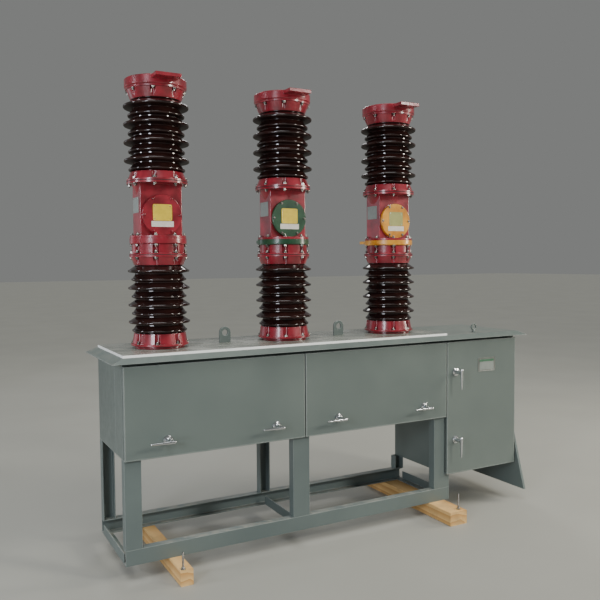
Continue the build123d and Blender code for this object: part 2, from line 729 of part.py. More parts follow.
def main():
    os.makedirs("parts", exist_ok=True)
    save("front_legs", front_legs())
    save("back_legs", back_legs())
    save("front_beam", long_beam(Y_PAN_BACK, 1))
    save("back_beam", long_beam(Y_BACK, -1))
    save("cross_beams", cross_beams())
    save("right_end_leg", right_end_leg())
    save("left_skid", skid(LEFT_SKID_X, LEFT_SKID_WIDTH, LEFT_SKID_LENGTH))
    save("right_skid", skid(RIGHT_SKID_X, RIGHT_SKID_WIDTH, RIGHT_SKID_LENGTH))
    save("front_stiles", front_stiles())
    save("front_rails", front_rails())
    save("left_end_panel", left_end_panel())
    save("partition_wall", partition_wall())
    save("right_end_wall", right_end_wall())
    save("back_panels", back_panels())
    save("floor_panels", floor_panels())
    save("roof", roof())
    save("top_plate", top_plate())
    save("lifting_lugs", lifting_lugs())
    save("left_door", main_door(0))
    save("right_door", main_door(1))
    save("mechanism_door", mechanism_door())
    save("left_door_rosettes", [rosette(*main_lever_place(i)) for i in (0, 1)])
    save("right_door_rosettes", [rosette(*main_lever_place(i)) for i in (2, 3)])
    save("mechanism_door_rosettes", [rosette(*mech_lever_place(i)) for i in (0, 1)])
    for i, name in enumerate(("left_door_left", "left_door_right", "right_door_left", "right_door_right")):
        save(f"{name}_lever", lever(*main_lever_place(i), 0))
    for i, name in enumerate(("lower", "upper")):
        save(f"mechanism_{name}_lever", lever(*mech_lever_place(i), 90))
    save("base_flanges", [base_flange(x) for x in POLES])
    save("bushing_flanges", [bushing_flange(x) for x in POLES])
    save("top_flanges", [top_flange(x) for x in POLES])
    save("neck_flanges", [neck_flange(x) for x in POLES])
    for i, x in enumerate(POLES):
        pole = f"pole_{i + 1}"
        save(f"{pole}_lower_insulator", porcelain(x, Z_LOWER, LOWER_PORCELAIN, LARGE_SHED, SMALL_SHED))
        save(f"{pole}_neck", neck(x))
        save(f"{pole}_phase_ring", phase_ring(x))
        save(f"{pole}_housing", housing(x))
        save(f"{pole}_cover", cover(x))
        save(f"{pole}_upper_insulator", porcelain(x, Z_UPPER, UPPER_PORCELAIN, UPPER_LARGE_SHED, UPPER_SMALL_SHED))
        save(f"{pole}_top_terminal", top_terminal(x))


main()
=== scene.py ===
import bpy
import bmesh
from collections import namedtuple
from math import cos, sin, pi, radians
from mathutils import Matrix, Vector


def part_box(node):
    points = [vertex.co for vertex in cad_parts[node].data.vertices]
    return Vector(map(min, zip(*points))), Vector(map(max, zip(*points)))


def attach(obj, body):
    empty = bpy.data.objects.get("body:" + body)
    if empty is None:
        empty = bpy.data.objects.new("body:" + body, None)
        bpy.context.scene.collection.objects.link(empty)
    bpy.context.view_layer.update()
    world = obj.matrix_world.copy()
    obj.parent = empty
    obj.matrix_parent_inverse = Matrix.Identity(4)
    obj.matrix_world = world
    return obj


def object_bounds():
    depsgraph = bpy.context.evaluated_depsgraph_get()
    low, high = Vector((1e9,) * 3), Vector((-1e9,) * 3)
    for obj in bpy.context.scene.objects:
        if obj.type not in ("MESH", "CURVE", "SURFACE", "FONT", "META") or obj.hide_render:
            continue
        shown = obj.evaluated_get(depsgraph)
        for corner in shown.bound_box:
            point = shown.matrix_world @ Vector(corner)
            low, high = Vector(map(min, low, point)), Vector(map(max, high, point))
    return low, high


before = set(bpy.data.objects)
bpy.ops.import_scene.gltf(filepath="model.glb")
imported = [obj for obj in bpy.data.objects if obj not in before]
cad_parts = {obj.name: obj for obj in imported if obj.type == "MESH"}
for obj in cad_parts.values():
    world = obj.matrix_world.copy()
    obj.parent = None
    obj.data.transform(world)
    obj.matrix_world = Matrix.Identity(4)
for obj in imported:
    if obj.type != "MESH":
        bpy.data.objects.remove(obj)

CAD_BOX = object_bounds()
MM = 0.001

# Places read from the frame, metres
POLE_COUNT = 3
POLE_X = []
for number in range(1, POLE_COUNT + 1):
    low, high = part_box(f"pole_{number}_lower_insulator")
    POLE_X.append((low.x + high.x) / 2)
Z_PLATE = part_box("top_plate")[1].z
Z_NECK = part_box("pole_1_neck")[0].z
Z_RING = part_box("pole_1_neck")[1].z
Z_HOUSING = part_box("pole_1_housing")[0].z
Z_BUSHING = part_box("pole_1_housing")[1].z
Z_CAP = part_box("top_flanges")[1].z
COVER_LOW, COVER_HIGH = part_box("pole_1_cover")
COVER_FACE = COVER_LOW.y
COVER_Z = (COVER_LOW.z + COVER_HIGH.z) / 2

# Castings: the housing's flat side from its pole's axis, heights of the rims and radii of the
# circles that their bolts stand on
HOUSING_SIDE = 106 * MM
FOOT_HEIGHT = 14 * MM
FLANGE_RIM = 10 * MM
HOUSING_FOOT = 12 * MM
HOUSING_FLANGE = 12 * MM
BASE_CIRCLE = 133 * MM
HOUSING_TOP_CIRCLE = 137 * MM
UPPER_CIRCLE = 140 * MM
TOP_CIRCLE = 138 * MM
NECK_CIRCLE = 132 * MM
FOOT_CIRCLE = 127 * MM
COVER_CIRCLE = 91 * MM
FLANGE_BOLTS = 8
COVER_BOLTS = 6

# Cabinet: outer corners of the doors and the front of the frame behind them
LEFT_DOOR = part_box("left_door")
RIGHT_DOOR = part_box("right_door")
MECHANISM_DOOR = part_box("mechanism_door")
DOOR_FACE = LEFT_DOOR[0].y
FRAME_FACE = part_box("floor_panels")[0].y


# Node trees

def add_node(tree, kind, inputs=None, **settings):
    # One node with its settings; an input takes a value, or a socket to link from
    made = tree.nodes.new(kind)
    for key, value in settings.items():
        setattr(made, key, value)
    for key, value in (inputs or {}).items():
        socket = made.inputs[key]
        if isinstance(value, bpy.types.NodeSocket):
            tree.links.new(value, socket)
        else:
            socket.default_value = value
    return made


def linear(code):
    # sRGB hex to the linear colour that the shaders take
    parts = [int(code[i:i + 2], 16) / 255 for i in (1, 3, 5)]
    parts = [p / 12.92 if p <= 0.04045 else ((p + 0.055) / 1.055) ** 2.4 for p in parts]
    return (*parts, 1.0)


def per_metre(size_mm):
    # Noise scale whose cells are about this many millimetres
    return 1000.0 / size_mm


def new_material(name):
    material = bpy.data.materials.new(name)
    material.use_nodes = True
    tree = material.node_tree
    shader = tree.nodes["Principled BSDF"]
    place = add_node(tree, "ShaderNodeTexCoord").outputs["Object"]
    return material, tree, shader, place


FOLD_HIGHLIGHT = 0.5


def satin_enamel(name, shade, light, dust, fold_mm=3.0):
    # Air-dried satin enamel on folded sheet: even grey-green, a soft sheen, faint waves in the
    # sheet, dust on what faces up and a painted highlight, a paler line along each fold
    material, tree, shader, place = new_material(name)
    broad = add_node(tree, "ShaderNodeTexNoise", {
        "Vector": place, "Scale": per_metre(420), "Detail": 3.0,
    })
    tone = add_node(tree, "ShaderNodeMapRange", {
        "Value": broad.outputs["Fac"], "From Min": 0.35, "From Max": 0.65,
    })
    base = add_node(tree, "ShaderNodeMix", {
        0: tone.outputs[0], 6: linear(shade), 7: linear(light),
    }, data_type="RGBA")
    facing = add_node(tree, "ShaderNodeNewGeometry")
    up = add_node(tree, "ShaderNodeSeparateXYZ", {0: facing.outputs["Normal"]})
    specks = add_node(tree, "ShaderNodeTexNoise", {
        "Vector": place, "Scale": per_metre(60), "Detail": 6.0, "Roughness": 0.7,
    })
    patch = add_node(tree, "ShaderNodeMapRange", {
        "Value": specks.outputs["Fac"], "From Min": 0.42, "From Max": 0.68,
    })
    level = add_node(tree, "ShaderNodeMapRange", {
        "Value": up.outputs["Z"], "From Min": 0.7, "From Max": 0.95, "To Max": dust,
    })
    dusty = add_node(tree, "ShaderNodeMath", {
        0: patch.outputs[0], 1: level.outputs[0],
    }, operation="MULTIPLY")
    with_dust = add_node(tree, "ShaderNodeMix", {
        0: dusty.outputs[0], 6: base.outputs[2], 7: linear("#9A978A"),
    }, data_type="RGBA")
    rounded = add_node(tree, "ShaderNodeBevel", {"Radius": fold_mm * MM}, samples=8)
    turn = add_node(tree, "ShaderNodeVectorMath", {
        0: rounded.outputs[0], 1: facing.outputs["Normal"],
    }, operation="DOT_PRODUCT")
    # Painted highlight along each fold: a paler colour fades in where the bevelled normal turns away from
    # the face
    fold = add_node(tree, "ShaderNodeMapRange", {
        "Value": turn.outputs["Value"], "From Min": 0.995, "From Max": 0.85, "To Max": FOLD_HIGHLIGHT,
    })
    fold_highlighted = add_node(tree, "ShaderNodeMix", {
        0: fold.outputs[0], 6: with_dust.outputs[2], 7: linear("#B4BBB5"),
    }, data_type="RGBA")
    tree.links.new(fold_highlighted.outputs[2], shader.inputs["Base Color"])
    gloss = add_node(tree, "ShaderNodeMapRange", {
        "Value": specks.outputs["Fac"], "From Min": 0.3, "From Max": 0.7, "To Min": 0.30,
        "To Max": 0.42,
    })
    rough = add_node(tree, "ShaderNodeMath", {
        0: dusty.outputs[0], 1: 0.35, 2: gloss.outputs[0],
    }, operation="MULTIPLY_ADD")
    tree.links.new(rough.outputs[0], shader.inputs["Roughness"])
    # Sheet waves about 180 mm across, and the spray's peel, drawn at 9 mm because the real 2 mm
    # is too fine to show
    waves = add_node(tree, "ShaderNodeTexNoise", {
        "Vector": place, "Scale": per_metre(180), "Detail": 1.0,
    })
    peel = add_node(tree, "ShaderNodeTexNoise", {"Vector": place, "Scale": per_metre(9), "Detail": 2.0})
    soft = add_node(tree, "ShaderNodeBump", {
        "Height": waves.outputs["Fac"], "Strength": 0.25, "Distance": 2.5 * MM,
        "Normal": rounded.outputs[0],
    })
    fine = add_node(tree, "ShaderNodeBump", {
        "Height": peel.outputs["Fac"], "Strength": 0.12, "Distance": 0.4 * MM,
        "Normal": soft.outputs[0],
    })
    tree.links.new(fine.outputs[0], shader.inputs["Normal"])
    return material


def casting_enamel(name, deep, bright):
    # Thick brushed gloss enamel over a sand casting: deep colour, wet highlights and a slightly
    # lumpy skin, with painted shade darkening the pockets and hollows
    material, tree, shader, place = new_material(name)
    broad = add_node(tree, "ShaderNodeTexNoise", {"Vector": place, "Scale": per_metre(70), "Detail": 3.0})
    tone = add_node(tree, "ShaderNodeMapRange", {
        "Value": broad.outputs["Fac"], "From Min": 0.35, "From Max": 0.65,
    })
    base = add_node(tree, "ShaderNodeMix", {
        0: tone.outputs[0], 6: linear(deep), 7: linear(bright),
    }, data_type="RGBA")
    # Painted shade: ambient occlusion darkens hollows and pockets towards the deep colour
    hollow = add_node(tree, "ShaderNodeAmbientOcclusion", {"Distance": 25 * MM}, samples=6)
    shade = add_node(tree, "ShaderNodeMapRange", {
        "Value": hollow.outputs["AO"], "From Min": 0.25, "From Max": 0.8, "To Min": 0.45,
    })
    pocket_shaded = add_node(tree, "ShaderNodeMix", {
        0: shade.outputs[0], 6: linear(deep), 7: base.outputs[2],
    }, data_type="RGBA")
    tree.links.new(pocket_shaded.outputs[2], shader.inputs["Base Color"])
    gloss = add_node(tree, "ShaderNodeMapRange", {
        "Value": broad.outputs["Fac"], "To Min": 0.24, "To Max": 0.38,
    })
    tree.links.new(gloss.outputs[0], shader.inputs["Roughness"])
    shader.inputs["Coat Weight"].default_value = 0.45
    shader.inputs["Coat Roughness"].default_value = 0.13
    rounded = add_node(tree, "ShaderNodeBevel", {"Radius": 2.5 * MM}, samples=6)
    lumps = add_node(tree, "ShaderNodeTexNoise", {"Vector": place, "Scale": per_metre(24), "Detail": 2.0})
    grains = add_node(tree, "ShaderNodeTexNoise", {"Vector": place, "Scale": per_metre(5), "Detail": 2.0})
    lumpy = add_node(tree, "ShaderNodeBump", {
        "Height": lumps.outputs["Fac"], "Strength": 0.35, "Distance": 1.2 * MM,
        "Normal": rounded.outputs[0],
    })
    cast = add_node(tree, "ShaderNodeBump", {
        "Height": grains.outputs["Fac"], "Strength": 0.15, "Distance": 0.4 * MM,
        "Normal": lumpy.outputs[0],
    })
    tree.links.new(cast.outputs[0], shader.inputs["Normal"])
    tree.links.new(cast.outputs[0], shader.inputs["Coat Normal"])
    return material


def brown_glaze(name):
    # Brown glaze fired on porcelain: almost black, warm where it thins, mirror-like with the
    # slow ripple of a turned and dipped body, thin and dull on the undersides of the sheds
    material, tree, shader, place = new_material(name)
    drift = add_node(tree, "ShaderNodeTexNoise", {"Vector": place, "Scale": per_metre(90), "Detail": 2.0})
    tone = add_node(tree, "ShaderNodeMapRange", {
        "Value": drift.outputs["Fac"], "From Min": 0.3, "From Max": 0.7,
    })
    base = add_node(tree, "ShaderNodeMix", {
        0: tone.outputs[0], 6: linear("#190F0E"), 7: linear("#2C1815"),
    }, data_type="RGBA")
    tree.links.new(base.outputs[2], shader.inputs["Base Color"])
    facing = add_node(tree, "ShaderNodeNewGeometry")
    up = add_node(tree, "ShaderNodeSeparateXYZ", {0: facing.outputs["Normal"]})
    dull = add_node(tree, "ShaderNodeMapRange", {
        "Value": up.outputs["Z"], "From Min": -0.9, "From Max": -0.3, "To Min": 0.45,
        "To Max": 0.07,
    })
    tree.links.new(dull.outputs[0], shader.inputs["Roughness"])
    thin = add_node(tree, "ShaderNodeMapRange", {
        "Value": up.outputs["Z"], "From Min": -0.9, "From Max": -0.3, "To Min": 0.08, "To Max": 0.5,
    })
    tree.links.new(thin.outputs[0], shader.inputs["Specular IOR Level"])
    shader.inputs["IOR"].default_value = 1.56
    ripple = add_node(tree, "ShaderNodeTexNoise", {
        "Vector": place, "Scale": per_metre(35), "Detail": 1.0,
    })
    wet = add_node(tree, "ShaderNodeBump", {
        "Height": ripple.outputs["Fac"], "Strength": 0.2, "Distance": 0.8 * MM,
    })
    tree.links.new(wet.outputs[0], shader.inputs["Normal"])
    return material


def bright_metal(name, colour, roughness, mark_mm, depth):
    # Plated or polished metal: reflects what is round it, broken by fine handling marks
    material, tree, shader, place = new_material(name)
    shader.inputs["Base Color"].default_value = linear(colour)
    shader.inputs["Metallic"].default_value = 1.0
    marks = add_node(tree, "ShaderNodeTexNoise", {
        "Vector": place, "Scale": per_metre(mark_mm), "Detail": 4.0, "Roughness": 0.6,
    })
    spread = add_node(tree, "ShaderNodeMapRange", {
        "Value": marks.outputs["Fac"], "To Min": roughness * 0.7, "To Max": roughness * 1.5,
    })
    tree.links.new(spread.outputs[0], shader.inputs["Roughness"])
    rub = add_node(tree, "ShaderNodeBump", {
        "Height": marks.outputs["Fac"], "Strength": depth, "Distance": 0.15 * MM,
    })
    tree.links.new(rub.outputs[0], shader.inputs["Normal"])
    return material


def plate_enamel(name):
    # Thick deck plate: the same enamel, glossier on top, with its edge near-white, partly bare
    # metal and partly a painted highlight
    material, tree, shader, place = new_material(name)
    facing = add_node(tree, "ShaderNodeNewGeometry")
    up = add_node(tree, "ShaderNodeSeparateXYZ", {0: facing.outputs["Normal"]})
    flat = add_node(tree, "ShaderNodeMath", {0: up.outputs["Z"], 1: 0.5}, operation="GREATER_THAN")
    cloud = add_node(tree, "ShaderNodeTexNoise", {
        "Vector": place, "Scale": per_metre(150), "Detail": 5.0, "Roughness": 0.6,
    })
    tone = add_node(tree, "ShaderNodeMapRange", {
        "Value": cloud.outputs["Fac"], "From Min": 0.35, "From Max": 0.65,
    })
    top = add_node(tree, "ShaderNodeMix", {
        0: tone.outputs[0], 6: linear("#6E736B"), 7: linear("#8C8E85"),
    }, data_type="RGBA")
    # Painted highlight: every face that does not look up is near-white, a bright line along the plate's
    # edge
    base = add_node(tree, "ShaderNodeMix", {
        0: flat.outputs[0], 6: linear("#F1F3EF"), 7: top.outputs[2],
    }, data_type="RGBA")
    tree.links.new(base.outputs[2], shader.inputs["Base Color"])
    gloss = add_node(tree, "ShaderNodeMapRange", {
        "Value": cloud.outputs["Fac"], "From Min": 0.3, "From Max": 0.7, "To Min": 0.16,
        "To Max": 0.36,
    })
    tree.links.new(gloss.outputs[0], shader.inputs["Roughness"])
    grit = add_node(tree, "ShaderNodeTexNoise", {"Vector": place, "Scale": per_metre(7), "Detail": 3.0})
    bump = add_node(tree, "ShaderNodeBump", {
        "Height": grit.outputs["Fac"], "Strength": 0.15, "Distance": 0.4 * MM,
    })
    tree.links.new(bump.outputs[0], shader.inputs["Normal"])
    return material


# Rings of a wave texture are 2 pi / (WAVE_RATE * Scale) apart
WAVE_RATE = 20
RING_PITCH_MM = 10 * pi
HEART_BELOW = 50 * MM


def sawn_pine(name, centre_x):
    # Rough-sawn pine baulk: yellow sapwood with darker year rings round a heart off the timber's
    # middle, long along Y, with saw fur and a few dirty marks
    material, tree, shader, place = new_material(name)
    moved = add_node(tree, "ShaderNodeMapping", {
        "Vector": place, "Location": (-centre_x, 0, HEART_BELOW), "Scale": (1.0, 0.05, 1.0),
    })
    warp = add_node(tree, "ShaderNodeTexNoise", {
        "Vector": moved.outputs[0], "Scale": per_metre(60), "Detail": 2.0,
    })
    bent = add_node(tree, "ShaderNodeMix", {
        0: 0.03, 4: moved.outputs[0], 5: warp.outputs["Color"],
    }, data_type="VECTOR")
    # Year rings drawn about 31 mm apart, because the real 3 to 5 mm is too fine to show
    ring_scale = per_metre(RING_PITCH_MM) * 2 * pi / WAVE_RATE
    rings = add_node(tree, "ShaderNodeTexWave", {
        "Vector": bent.outputs[1], "Scale": ring_scale, "Distortion": 1.2, "Detail": 2.0,
    }, wave_type="RINGS", rings_direction="Y", wave_profile="SAW")
    wood = add_node(tree, "ShaderNodeMix", {
        0: rings.outputs["Fac"], 6: linear("#D8B478"), 7: linear("#B98A4E"),
    }, data_type="RGBA")
    dirt = add_node(tree, "ShaderNodeTexNoise", {
        "Vector": place, "Scale": per_metre(110), "Detail": 5.0, "Roughness": 0.65,
    })
    grime = add_node(tree, "ShaderNodeMapRange", {
        "Value": dirt.outputs["Fac"], "From Min": 0.5, "From Max": 0.75, "To Max": 0.55,
    })
    used = add_node(tree, "ShaderNodeMix", {
        0: grime.outputs[0], 6: wood.outputs[2], 7: linear("#86704F"),
    }, data_type="RGBA")
    tree.links.new(used.outputs[2], shader.inputs["Base Color"])
    shader.inputs["Roughness"].default_value = 0.78
    # Saw marks across the timber, about 4 mm apart along it
    across = add_node(tree, "ShaderNodeMapping", {"Vector": place, "Scale": (0.2, 1.0, 0.2)})
    teeth = add_node(tree, "ShaderNodeTexNoise", {
        "Vector": across.outputs[0], "Scale": per_metre(4), "Detail": 3.0,
    })
    fur = add_node(tree, "ShaderNodeBump", {
        "Height": teeth.outputs["Fac"], "Strength": 0.5, "Distance": 0.8 * MM,
    })
    grain = add_node(tree, "ShaderNodeBump", {
        "Height": rings.outputs["Fac"], "Strength": 0.25, "Distance": 0.5 * MM,
        "Normal": fur.outputs[0],
    })
    tree.links.new(grain.outputs[0], shader.inputs["Normal"])
    return material


def printed_sheet(name, colour, roughness):
    # Blank film or lacquer on a thin plate: one plain colour with faint handling smears
    material, tree, shader, place = new_material(name)
    smear = add_node(tree, "ShaderNodeTexNoise", {"Vector": place, "Scale": per_metre(22), "Detail": 3.0})
    tone = add_node(tree, "ShaderNodeMapRange", {
        "Value": smear.outputs["Fac"], "From Min": 0.3, "From Max": 0.7, "To Min": 0.86,
        "To Max": 1.0,
    })
    base = add_node(tree, "ShaderNodeMix", {
        0: tone.outputs[0], 6: linear("#272727"), 7: linear(colour),
    }, data_type="RGBA")
    tree.links.new(base.outputs[2], shader.inputs["Base Color"])
    gloss = add_node(tree, "ShaderNodeMapRange", {
        "Value": smear.outputs["Fac"], "To Min": roughness * 0.8, "To Max": roughness * 1.3,
    })
    tree.links.new(gloss.outputs[0], shader.inputs["Roughness"])
    return material


def moulded_rubber(name):
    # Black closed-cell sponge strip: dull and slightly grey where it has been pressed, its pores
    # drawn at 4 mm because the real ones, under 1 mm, are too fine to show
    material, tree, shader, place = new_material(name)
    cells = add_node(tree, "ShaderNodeTexNoise", {"Vector": place, "Scale": per_metre(4), "Detail": 3.0})
    base = add_node(tree, "ShaderNodeMix", {
        0: cells.outputs["Fac"], 6: linear("#101111"), 7: linear("#242625"),
    }, data_type="RGBA")
    tree.links.new(base.outputs[2], shader.inputs["Base Color"])
    shader.inputs["Roughness"].default_value = 0.85
    pores = add_node(tree, "ShaderNodeBump", {
        "Height": cells.outputs["Fac"], "Strength": 0.3, "Distance": 0.4 * MM,
    })
    tree.links.new(pores.outputs[0], shader.inputs["Normal"])
    return material


def pale_floor(name):
    # Smooth pale studio floor with a trace of unevenness
    material, tree, shader, place = new_material(name)
    cloud = add_node(tree, "ShaderNodeTexNoise", {
        "Vector": place, "Scale": per_metre(900), "Detail": 4.0,
    })
    base = add_node(tree, "ShaderNodeMix", {
        0: cloud.outputs["Fac"], 6: linear("#8C8C84"), 7: linear("#999991"),
    }, data_type="RGBA")
    tree.links.new(base.outputs[2], shader.inputs["Base Color"])
    shader.inputs["Roughness"].default_value = 0.6
    return material


# Finishes by slot of the record
FINISHES = {
    "stand_paint": satin_enamel("stand satin enamel", "#56615F", "#5F6A67", dust=0.7),
    "cabinet_paint": satin_enamel("cabinet satin enamel", "#58625E", "#616B66", dust=0.4),
    "door_paint": satin_enamel("door satin enamel", "#5B6561", "#636D68", dust=0.2, fold_mm=8.0),
    "plate_steel": plate_enamel("deck plate enamel and highlighted edge"),
    "lug_steel": satin_enamel("lug satin enamel", "#56605C", "#5F6964", dust=0.5),
    "handle_chrome": bright_metal("bright chrome plate", "#CDD0D2", 0.15, mark_mm=30, depth=0.06),
    "casting_red": casting_enamel("red gloss casting enamel", "#6D0F1C", "#951D2D"),
    "phase_green": casting_enamel("green gloss casting enamel", "#143822", "#1F4B30"),
    "phase_yellow": casting_enamel("yellow gloss casting enamel", "#BC7A1C", "#D99A30"),
    "porcelain": brown_glaze("brown fired glaze"),
}
PINE = {}
for name in ("left_skid", "right_skid"):
    low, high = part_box(name)
    PINE[name] = sawn_pine(f"sawn pine {name}", (low.x + high.x) / 2)
ZINC = bright_metal("zinc plated steel", "#8E8C86", 0.28, mark_mm=6, depth=0.2)
RUBBER = moulded_rubber("black sponge rubber")
BARE_PLATE = bright_metal("satin aluminium sheet", "#9A9E9B", 0.30, mark_mm=9, depth=0.15)
YELLOW_SHEET = printed_sheet("plain yellow lacquer", "#DBC03E", 0.30)
OLIVE_SHEET = printed_sheet("plain olive lacquer", "#9FA060", 0.34)
PALE_SHEET = printed_sheet("plain pale film", "#D6D3C6", 0.34)
GREY_SHEET = printed_sheet("plain grey film", "#868D87", 0.30)
GREEN_SHEET = printed_sheet("plain green band", "#3F6B50", 0.34)
FLOOR = pale_floor("pale floor")

# Each CAD node takes the finish that its slot names
for node_name, node_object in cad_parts.items():
    for holder in node_object.material_slots:
        slot_name = holder.material.name.split(".")[0]
        holder.material = PINE[node_name] if slot_name == "timber" else FINISHES[slot_name]


# Making pieces

def link(obj):
    bpy.context.scene.collection.objects.link(obj)
    return obj


def from_bmesh(name, shape, material):
    bmesh.ops.recalc_face_normals(shape, faces=shape.faces)
    mesh = bpy.data.meshes.new(name)
    shape.to_mesh(mesh)
    shape.free()
    mesh.materials.append(material)
    return link(bpy.data.objects.new(name, mesh))


def skin(shape, rows):
    # Faces from each closed row of corners to the next
    for first, second in zip(rows, rows[1:]):
        for i in range(len(first)):
            j = (i + 1) % len(first)
            shape.faces.new((first[i], first[j], second[j], second[i]))


def piece(obj, body):
    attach(obj, body)
    return obj


def baked(obj):
    # Turns a finished node tree into a plain mesh and drops its modifier
    depsgraph = bpy.context.evaluated_depsgraph_get()
    mesh = bpy.data.meshes.new_from_object(obj.evaluated_get(depsgraph), depsgraph=depsgraph)
    obj.modifiers.clear()
    obj.data = mesh
    return obj


def run_tree(obj, tree, values):
    modifier = obj.modifiers.new(tree.name, "NODES")
    modifier.node_group = tree
    inputs = [item for item in tree.interface.items_tree if item.in_out == "INPUT"]
    sockets = {item.name: item.identifier for item in inputs}
    for key, value in values.items():
        modifier[sockets[key]] = value
    return baked(obj)


def new_tree(name, numbers):
    # Geometry tree with named number inputs, metres or counts, and a material
    tree = bpy.data.node_groups.new(name, "GeometryNodeTree")
    tree.interface.new_socket(name="Geometry", in_out="INPUT", socket_type="NodeSocketGeometry")
    for label, value in numbers.items():
        kind = "NodeSocketInt" if isinstance(value, int) else "NodeSocketFloat"
        tree.interface.new_socket(name=label, in_out="INPUT", socket_type=kind).default_value = value
    tree.interface.new_socket(name="Material", in_out="INPUT", socket_type="NodeSocketMaterial")
    tree.interface.new_socket(name="Geometry", in_out="OUTPUT", socket_type="NodeSocketGeometry")
    source = tree.nodes.new("NodeGroupInput")
    result = tree.nodes.new("NodeGroupOutput")
    return tree, source.outputs, result


def finish_tree(tree, source, result, geometry):
    real = add_node(tree, "GeometryNodeRealizeInstances", {0: geometry})
    coated = add_node(tree, "GeometryNodeSetMaterial", {
        "Geometry": real.outputs[0], "Material": source["Material"],
    })
    tree.links.new(coated.outputs[0], result.inputs[0])
    return tree


# A bolt head's chamfered crown as shares of the head, a thread end's tip as a share of the rod
CROWN_HEIGHT = 0.22
CROWN_RADIUS = 0.84
THREAD_TIP = 0.78
WASHER_SIDES = 20
HEXAGON_SIDES = 6
THREAD_SIDES = 12


def hex_bolt_tree():
    # A washer, a hexagon with a chamfered crown and a thread end on every point, each along its
    # point's own axis and turned at random
    tree, source, result = new_tree("hexagon bolts", {
        "Head Radius": 9.0 * MM, "Head Height": 7.5 * MM,
        "Washer Radius": 11.0 * MM, "Washer Height": 2.0 * MM,
        "Thread Radius": 5.0 * MM, "Thread Length": 5.0 * MM, "Seed": 4,
    })
    crown_height = add_node(tree, "ShaderNodeMath", {
        0: source["Head Height"], 1: CROWN_HEIGHT,
    }, operation="MULTIPLY").outputs[0]
    body_height = add_node(tree, "ShaderNodeMath", {
        0: source["Head Height"], 1: 1 - CROWN_HEIGHT,
    }, operation="MULTIPLY").outputs[0]
    crown_radius = add_node(tree, "ShaderNodeMath", {
        0: source["Head Radius"], 1: CROWN_RADIUS,
    }, operation="MULTIPLY").outputs[0]
    head_top = add_node(tree, "ShaderNodeMath", {
        0: source["Washer Height"], 1: body_height,
    }, operation="ADD").outputs[0]
    crown_top = add_node(tree, "ShaderNodeMath", {
        0: head_top, 1: crown_height,
    }, operation="ADD").outputs[0]
    thread_tip = add_node(tree, "ShaderNodeMath", {
        0: source["Thread Radius"], 1: THREAD_TIP,
    }, operation="MULTIPLY").outputs[0]
    washer = source["Washer Radius"]
    head = source["Head Radius"]
    # Sides, lower and upper radius, height and foot of each part; the washer stands at the foot
    parts = [
        (WASHER_SIDES, washer, washer, source["Washer Height"], None),
        (HEXAGON_SIDES, head, head, body_height, source["Washer Height"]),
        (HEXAGON_SIDES, head, crown_radius, crown_height, head_top),
        (THREAD_SIDES, source["Thread Radius"], thread_tip, source["Thread Length"], crown_top),
    ]
    joined = add_node(tree, "GeometryNodeJoinGeometry")
    for sides, bottom, top, height, base in parts:
        part = add_node(tree, "GeometryNodeMeshCone", {
            "Vertices": sides, "Radius Bottom": bottom, "Radius Top": top, "Depth": height,
        })
        if base is None:
            tree.links.new(part.outputs[0], joined.inputs[0])
            continue
        lift = add_node(tree, "ShaderNodeCombineXYZ", {"Z": base})
        raised = add_node(tree, "GeometryNodeTransform", {
            "Geometry": part.outputs[0], "Translation": lift.outputs[0],
        })
        tree.links.new(raised.outputs[0], joined.inputs[0])
    axis = add_node(tree, "GeometryNodeInputNamedAttribute", {"Name": "axis"}, data_type="FLOAT_VECTOR")
    upright = add_node(tree, "FunctionNodeAlignRotationToVector", {"Vector": axis.outputs[0]}, axis="Z")
    chance = add_node(tree, "FunctionNodeRandomValue", {
        2: 0.0, 3: 2 * pi, "Seed": source["Seed"],
    }, data_type="FLOAT")
    spin = add_node(tree, "ShaderNodeCombineXYZ", {"Z": chance.outputs[1]})
    turn = add_node(tree, "FunctionNodeEulerToRotation", {0: spin.outputs[0]})
    turned = add_node(tree, "FunctionNodeRotateRotation", {
        0: upright.outputs[0], 1: turn.outputs[0],
    }, rotation_space="LOCAL")
    placed = add_node(tree, "GeometryNodeInstanceOnPoints", {
        "Points": source["Geometry"], "Instance": joined.outputs[0], "Rotation": turned.outputs[0],
    })
    return finish_tree(tree, source, result, placed.outputs[0])


def domed_head_tree():
    # A flat-bottomed dome on every point, for rivets and pan-head screws
    tree, source, result = new_tree("domed heads", {"Radius": 4.0 * MM, "Height": 2.0 * MM})
    ball = add_node(tree, "GeometryNodeMeshUVSphere", {"Segments": 14, "Rings": 8, "Radius": 1.0})
    where = add_node(tree, "GeometryNodeInputPosition")
    parts = add_node(tree, "ShaderNodeSeparateXYZ", {0: where.outputs[0]})
    upper = add_node(tree, "ShaderNodeMath", {0: parts.outputs["Z"], 1: 0.0}, operation="MAXIMUM")
    flat = add_node(tree, "ShaderNodeCombineXYZ", {
        "X": parts.outputs["X"], "Y": parts.outputs["Y"], "Z": upper.outputs[0],
    })
    size = add_node(tree, "ShaderNodeCombineXYZ", {
        "X": source["Radius"], "Y": source["Radius"], "Z": source["Height"],
    })
    scaled = add_node(tree, "ShaderNodeVectorMath", {
        0: flat.outputs[0], 1: size.outputs[0],
    }, operation="MULTIPLY")
    dome = add_node(tree, "GeometryNodeSetPosition", {
        "Geometry": ball.outputs[0], "Position": scaled.outputs[0],
    })
    axis = add_node(tree, "GeometryNodeInputNamedAttribute", {"Name": "axis"}, data_type="FLOAT_VECTOR")
    turned = add_node(tree, "FunctionNodeAlignRotationToVector", {"Vector": axis.outputs[0]}, axis="Z")
    placed = add_node(tree, "GeometryNodeInstanceOnPoints", {
        "Points": source["Geometry"], "Instance": dome.outputs[0], "Rotation": turned.outputs[0],
    })
    smooth = add_node(tree, "GeometryNodeSetShadeSmooth", {"Geometry": placed.outputs[0]})
    return finish_tree(tree, source, result, smooth.outputs[0])


HEX_BOLTS = hex_bolt_tree()
DOMED_HEADS = domed_head_tree()


